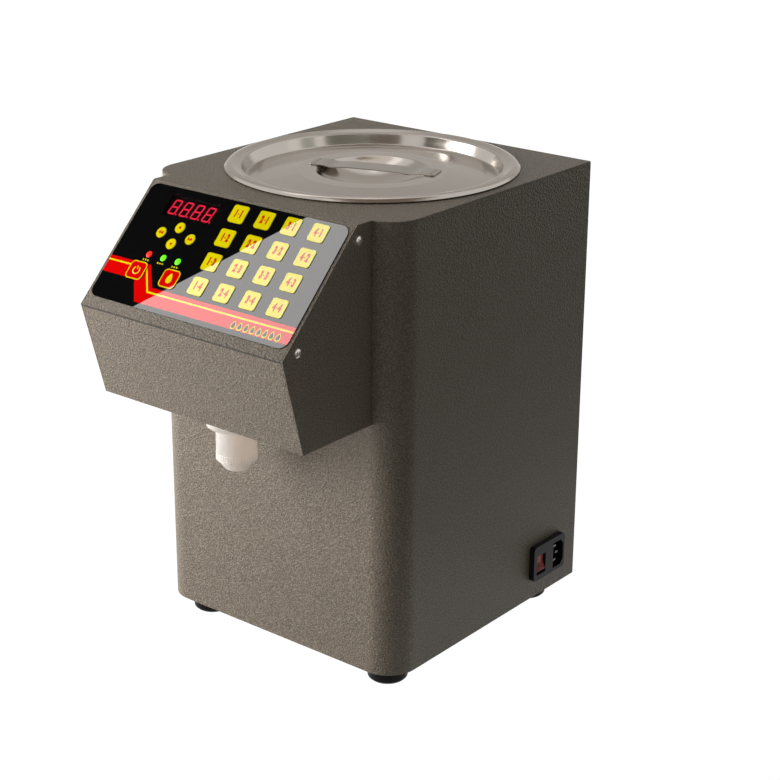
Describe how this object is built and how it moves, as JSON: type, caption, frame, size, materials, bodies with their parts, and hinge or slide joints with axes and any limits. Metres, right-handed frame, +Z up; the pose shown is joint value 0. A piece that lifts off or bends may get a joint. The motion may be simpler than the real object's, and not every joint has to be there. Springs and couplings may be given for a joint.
{
  "type": "fructose dispenser",
  "caption": "Countertop syrup dispenser: sheet-metal cabinet with a lidded steel pot, a gear pump, a sloping keypad head with an overhanging nozzle, and a mains inlet.",
  "frame": {"origin": "middle of the overall box, on the plane that the feet stand on", "axes": "+X to the machine's left as seen from behind it, which is the right as the user faces the keypad; +Y to the back; +Z up"},
  "size_m": [0.2755, 0.3756, 0.4194],
  "materials": {
    "powder_coat": "fine hammered powder coat",
    "stainless": "drawn and polished stainless steel",
    "zinc_steel": "zinc plated",
    "cast_aluminium": "machined",
    "motor_grey": "satin",
    "film_black": "printed film with a fine grain",
    "smoked_window": "smoked red",
    "key_yellow": "printed film",
    "red_plastic": "satin",
    "board_green": "solder mask",
    "black_plastic": "moulded",
    "lamp_green": "clear coloured lens",
    "white_nylon": "moulded nylon",
    "seal_silicone": "silicone",
    "foot_rubber": "moulded rubber",
    "hose_clear": "clear hose",
    "plated_brass": "nickel plated"
  },
  "bodies": {
    "cabinet": {"cabinet_shell": "powder_coat", "top_plate": "powder_coat", "base_tray": "powder_coat", "rear_panel": "powder_coat", "feet": "foot_rubber", "case_screws": "zinc_steel", "head_housing": "powder_coat", "head_cover": "powder_coat", "keypad_overlay": "film_black", "display_window": "smoked_window", "keypad_board": "board_green", "tactile_switches": "black_plastic", "display_module": "black_plastic", "indicator_lamps": "lamp_green", "board_spacers": "white_nylon", "syrup_pot": "stainless", "pot_gasket": "seal_silicone", "pump_motor": "motor_grey", "pump_bracket": "zinc_steel", "pump_body": "cast_aluminium", "pump_cover": "cast_aluminium", "pump_screws": "zinc_steel", "suction_hose": "hose_clear", "delivery_hose": "hose_clear", "hose_clamps": "zinc_steel", "nozzle_body": "white_nylon", "nozzle_nut": "white_nylon", "control_board": "board_green", "power_supply": "cast_aluminium", "wiring_loom": "black_plastic", "inlet_socket": "black_plastic", "inlet_pins": "plated_brass"},
    "lid": {"lid": "stainless", "lid_handle": "stainless"},
    "nozzle_cap": {"nozzle_cap": "white_nylon"},
    "drive_gear": {"drive_gear": "stainless"},
    "idler_gear": {"idler_gear": "stainless"},
    "power_rocker": {"power_rocker": "red_plastic"},
    "key_1_1": {"key_1_1": "key_yellow"},
    "key_2_1": {"key_2_1": "key_yellow"},
    "key_3_1": {"key_3_1": "key_yellow"},
    "key_4_1": {"key_4_1": "key_yellow"},
    "key_1_2": {"key_1_2": "key_yellow"},
    "key_2_2": {"key_2_2": "key_yellow"},
    "key_3_2": {"key_3_2": "key_yellow"},
    "key_4_2": {"key_4_2": "key_yellow"},
    "key_1_3": {"key_1_3": "key_yellow"},
    "key_2_3": {"key_2_3": "key_yellow"},
    "key_3_3": {"key_3_3": "key_yellow"},
    "key_4_3": {"key_4_3": "key_yellow"},
    "key_1_4": {"key_1_4": "key_yellow"},
    "key_2_4": {"key_2_4": "key_yellow"},
    "key_3_4": {"key_3_4": "key_yellow"},
    "key_4_4": {"key_4_4": "key_yellow"},
    "key_left": {"key_left": "key_yellow"},
    "key_right": {"key_right": "key_yellow"},
    "key_up": {"key_up": "key_yellow"},
    "key_down": {"key_down": "key_yellow"},
    "key_power": {"key_power": "red_plastic"},
    "key_start": {"key_start": "red_plastic"}
  },
  "joints": [
    {"name": "lid_lift", "type": "slide", "parent": "cabinet", "child": "lid", "axis": [0, 0, 1], "range_m": [0, 0.25]},
    {"name": "nozzle_cap_turn", "type": "hinge", "parent": "cabinet", "child": "nozzle_cap", "pos_m": [0, -0.12366, 0.2], "axis": [0, 0, 1], "continuous": true},
    {"name": "drive_gear_spin", "type": "hinge", "parent": "cabinet", "child": "drive_gear", "pos_m": [0, 0.00284, 0.0712], "axis": [0, 1, 0], "continuous": true},
    {"name": "idler_gear_spin", "type": "hinge", "parent": "cabinet", "child": "idler_gear", "pos_m": [0, 0.00284, 0.1012], "axis": [0, 1, 0], "continuous": true},
    {"name": "power_rocker_tilt", "type": "hinge", "parent": "cabinet", "child": "power_rocker", "pos_m": [0.1335, 0.12634, 0.0514], "axis": [0, 1, 0], "range_deg": [0, 20]},
    {"name": "key_1_1_press", "type": "slide", "parent": "cabinet", "child": "key_1_1", "axis": [0, 0.7071, -0.7071], "range_m": [0, 0.0004], "stiffness_N_per_m": 2000, "springref_m": -0.0003},
    {"name": "key_2_1_press", "type": "slide", "parent": "cabinet", "child": "key_2_1", "axis": [0, 0.7071, -0.7071], "range_m": [0, 0.0004], "stiffness_N_per_m": 2000, "springref_m": -0.0003},
    {"name": "key_3_1_press", "type": "slide", "parent": "cabinet", "child": "key_3_1", "axis": [0, 0.7071, -0.7071], "range_m": [0, 0.0004], "stiffness_N_per_m": 2000, "springref_m": -0.0003},
    {"name": "key_4_1_press", "type": "slide", "parent": "cabinet", "child": "key_4_1", "axis": [0, 0.7071, -0.7071], "range_m": [0, 0.0004], "stiffness_N_per_m": 2000, "springref_m": -0.0003},
    {"name": "key_1_2_press", "type": "slide", "parent": "cabinet", "child": "key_1_2", "axis": [0, 0.7071, -0.7071], "range_m": [0, 0.0004], "stiffness_N_per_m": 2000, "springref_m": -0.0003},
    {"name": "key_2_2_press", "type": "slide", "parent": "cabinet", "child": "key_2_2", "axis": [0, 0.7071, -0.7071], "range_m": [0, 0.0004], "stiffness_N_per_m": 2000, "springref_m": -0.0003},
    {"name": "key_3_2_press", "type": "slide", "parent": "cabinet", "child": "key_3_2", "axis": [0, 0.7071, -0.7071], "range_m": [0, 0.0004], "stiffness_N_per_m": 2000, "springref_m": -0.0003},
    {"name": "key_4_2_press", "type": "slide", "parent": "cabinet", "child": "key_4_2", "axis": [0, 0.7071, -0.7071], "range_m": [0, 0.0004], "stiffness_N_per_m": 2000, "springref_m": -0.0003},
    {"name": "key_1_3_press", "type": "slide", "parent": "cabinet", "child": "key_1_3", "axis": [0, 0.7071, -0.7071], "range_m": [0, 0.0004], "stiffness_N_per_m": 2000, "springref_m": -0.0003},
    {"name": "key_2_3_press", "type": "slide", "parent": "cabinet", "child": "key_2_3", "axis": [0, 0.7071, -0.7071], "range_m": [0, 0.0004], "stiffness_N_per_m": 2000, "springref_m": -0.0003},
    {"name": "key_3_3_press", "type": "slide", "parent": "cabinet", "child": "key_3_3", "axis": [0, 0.7071, -0.7071], "range_m": [0, 0.0004], "stiffness_N_per_m": 2000, "springref_m": -0.0003},
    {"name": "key_4_3_press", "type": "slide", "parent": "cabinet", "child": "key_4_3", "axis": [0, 0.7071, -0.7071], "range_m": [0, 0.0004], "stiffness_N_per_m": 2000, "springref_m": -0.0003},
    {"name": "key_1_4_press", "type": "slide", "parent": "cabinet", "child": "key_1_4", "axis": [0, 0.7071, -0.7071], "range_m": [0, 0.0004], "stiffness_N_per_m": 2000, "springref_m": -0.0003},
    {"name": "key_2_4_press", "type": "slide", "parent": "cabinet", "child": "key_2_4", "axis": [0, 0.7071, -0.7071], "range_m": [0, 0.0004], "stiffness_N_per_m": 2000, "springref_m": -0.0003},
    {"name": "key_3_4_press", "type": "slide", "parent": "cabinet", "child": "key_3_4", "axis": [0, 0.7071, -0.7071], "range_m": [0, 0.0004], "stiffness_N_per_m": 2000, "springref_m": -0.0003},
    {"name": "key_4_4_press", "type": "slide", "parent": "cabinet", "child": "key_4_4", "axis": [0, 0.7071, -0.7071], "range_m": [0, 0.0004], "stiffness_N_per_m": 2000, "springref_m": -0.0003},
    {"name": "key_left_press", "type": "slide", "parent": "cabinet", "child": "key_left", "axis": [0, 0.7071, -0.7071], "range_m": [0, 0.0004], "stiffness_N_per_m": 2000, "springref_m": -0.0003},
    {"name": "key_right_press", "type": "slide", "parent": "cabinet", "child": "key_right", "axis": [0, 0.7071, -0.7071], "range_m": [0, 0.0004], "stiffness_N_per_m": 2000, "springref_m": -0.0003},
    {"name": "key_up_press", "type": "slide", "parent": "cabinet", "child": "key_up", "axis": [0, 0.7071, -0.7071], "range_m": [0, 0.0004], "stiffness_N_per_m": 2000, "springref_m": -0.0003},
    {"name": "key_down_press", "type": "slide", "parent": "cabinet", "child": "key_down", "axis": [0, 0.7071, -0.7071], "range_m": [0, 0.0004], "stiffness_N_per_m": 2000, "springref_m": -0.0003},
    {"name": "key_power_press", "type": "slide", "parent": "cabinet", "child": "key_power", "axis": [0, 0.7071, -0.7071], "range_m": [0, 0.0004], "stiffness_N_per_m": 2000, "springref_m": -0.0003},
    {"name": "key_start_press", "type": "slide", "parent": "cabinet", "child": "key_start", "axis": [0, 0.7071, -0.7071], "range_m": [0, 0.0004], "stiffness_N_per_m": 2000, "springref_m": -0.0003}
  ],
  "couplings": [
    {"joint": "idler_gear_spin", "follows": "drive_gear_spin", "ratio": -1}
  ]
}
